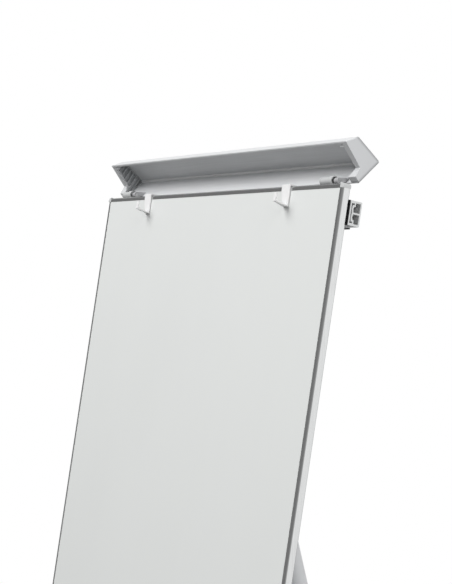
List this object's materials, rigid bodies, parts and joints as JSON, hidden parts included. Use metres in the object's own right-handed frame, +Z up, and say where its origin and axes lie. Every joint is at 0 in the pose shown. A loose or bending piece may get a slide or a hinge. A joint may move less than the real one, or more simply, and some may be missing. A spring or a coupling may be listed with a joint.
{
  "type": "flipchart easel",
  "caption": "Tilted magnetic whiteboard on a telescopic tripod, with a hinged paper clamp bar, sliding pad hooks, pull-out side arms and a pen tray.",
  "frame": {"origin": "on the floor, midway across the board and midway between the front feet's toes and the rear foot's heel", "axes": "+Z up, +X to the right as seen from the front, the board faces -Y"},
  "size_m": [0.7064, 0.765, 1.7919],
  "materials": {
    "white_enamel": "satin enamel",
    "honeycomb_core": "raw",
    "zinc_sheet": "mill",
    "light_aluminium": "satin anodised",
    "light_plastic": "fine moulded",
    "zinc_steel": "zinc plated",
    "clamp_aluminium": "satin anodised",
    "grey_plastic": "fine moulded",
    "light_metal_paint": "satin powder coat",
    "turned_aluminium": "turned",
    "white_plastic": "smooth",
    "arm_aluminium": "satin anodised",
    "black_plastic": "fine moulded",
    "leg_paint": "satin powder coat",
    "inner_aluminium": "brushed",
    "black_rubber": "matt"
  },
  "bodies": {
    "board": {"arm_glide_left": "grey_plastic", "arm_glide_right": "grey_plastic", "arm_guide_left": "black_plastic", "arm_guide_right": "black_plastic", "back_sheet": "zinc_sheet", "board_core": "honeycomb_core", "corner_cap_bottom_left": "light_plastic", "corner_cap_bottom_right": "light_plastic", "corner_cap_top_left": "light_plastic", "corner_cap_top_right": "light_plastic", "crossbeam_screws": "zinc_steel", "frame_rail_bottom": "light_aluminium", "frame_rail_left": "light_aluminium", "frame_rail_right": "light_aluminium", "frame_rail_top": "light_aluminium", "front_tube_plugs": "black_plastic", "hinge_bracket_left": "light_metal_paint", "hinge_bracket_right": "light_metal_paint", "hinge_screws": "zinc_steel", "left_leg_collar": "black_plastic", "left_leg_outer_tube": "leg_paint", "lower_crossbeam": "leg_paint", "lower_leg_brackets": "black_plastic", "pen_tray": "light_aluminium", "pen_tray_end_left": "light_plastic", "pen_tray_end_right": "light_plastic", "pen_tray_screws": "zinc_steel", "rear_bracket_screws": "zinc_steel", "rear_leg_bracket": "leg_paint", "rear_leg_pin": "zinc_steel", "right_leg_collar": "black_plastic", "right_leg_outer_tube": "leg_paint", "upper_crossbeam": "leg_paint", "upper_leg_brackets": "black_plastic", "writing_sheet": "white_enamel"},
    "clamp_bar": {"clamp_profile": "clamp_aluminium", "clamp_end_cap_left": "grey_plastic", "clamp_end_cap_right": "grey_plastic", "hinge_knuckle_left": "turned_aluminium", "hinge_knuckle_right": "turned_aluminium", "hinge_pin_left": "zinc_steel", "hinge_pin_right": "zinc_steel"},
    "left_hook": {"paper_hook_left": "white_plastic"},
    "right_hook": {"paper_hook_right": "white_plastic"},
    "left_arm": {"extension_arm_left": "arm_aluminium"},
    "right_arm": {"extension_arm_right": "arm_aluminium"},
    "left_leg": {"left_leg_inner_tube": "inner_aluminium", "left_leg_foot": "black_rubber"},
    "right_leg": {"right_leg_inner_tube": "inner_aluminium", "right_leg_foot": "black_rubber"},
    "rear_leg": {"rear_leg_head": "black_plastic", "rear_leg_outer_tube": "leg_paint", "rear_leg_collar": "black_plastic"},
    "rear_leg_extension": {"rear_leg_inner_tube": "inner_aluminium", "rear_leg_foot": "black_rubber"},
    "left_knob": {"left_leg_knob": "black_plastic"},
    "right_knob": {"right_leg_knob": "black_plastic"},
    "rear_knob": {"rear_leg_knob": "black_plastic"}
  },
  "joints": [
    {"name": "clamp_hinge", "type": "hinge", "parent": "board", "child": "clamp_bar", "pos_m": [0, -0.07508, 1.73132], "axis": [1, 0, 0], "range_deg": [0, 134]},
    {"name": "left_hook_slide", "type": "slide", "parent": "board", "child": "left_hook", "axis": [1, 0, 0], "range_m": [-0.03, 0.15]},
    {"name": "right_hook_slide", "type": "slide", "parent": "board", "child": "right_hook", "axis": [1, 0, 0], "range_m": [-0.15, 0.03]},
    {"name": "left_arm_slide", "type": "slide", "parent": "board", "child": "left_arm", "axis": [-1, 0, 0], "range_m": [0, 0.18]},
    {"name": "right_arm_slide", "type": "slide", "parent": "board", "child": "right_arm", "axis": [1, 0, 0], "range_m": [0, 0.18]},
    {"name": "left_leg_slide", "type": "slide", "parent": "board", "child": "left_leg", "axis": [0, -0.1736, -0.9848], "range_m": [-0.4, 0.12]},
    {"name": "right_leg_slide", "type": "slide", "parent": "board", "child": "right_leg", "axis": [0, -0.1736, -0.9848], "range_m": [-0.4, 0.12]},
    {"name": "rear_leg_fold", "type": "hinge", "parent": "board", "child": "rear_leg", "pos_m": [0, -0.05757, 1.57663], "axis": [-1, 0, 0], "range_deg": [0, 25]},
    {"name": "rear_leg_slide", "type": "slide", "parent": "rear_leg", "child": "rear_leg_extension", "axis": [0, 0.2588, -0.9659], "range_m": [-0.4, 0.12]},
    {"name": "left_knob_turn", "type": "hinge", "parent": "board", "child": "left_knob", "pos_m": [-0.27, -0.23169, 0.58683], "axis": [0, 0.9848, -0.1736], "range_deg": [0, 360]},
    {"name": "right_knob_turn", "type": "hinge", "parent": "board", "child": "right_knob", "pos_m": [0.27, -0.23169, 0.58683], "axis": [0, 0.9848, -0.1736], "range_deg": [0, 360]},
    {"name": "rear_knob_turn", "type": "hinge", "parent": "rear_leg", "child": "rear_knob", "pos_m": [0, 0.2156, 0.67149], "axis": [0, 0.9659, 0.2588], "range_deg": [0, 360]}
  ]
}
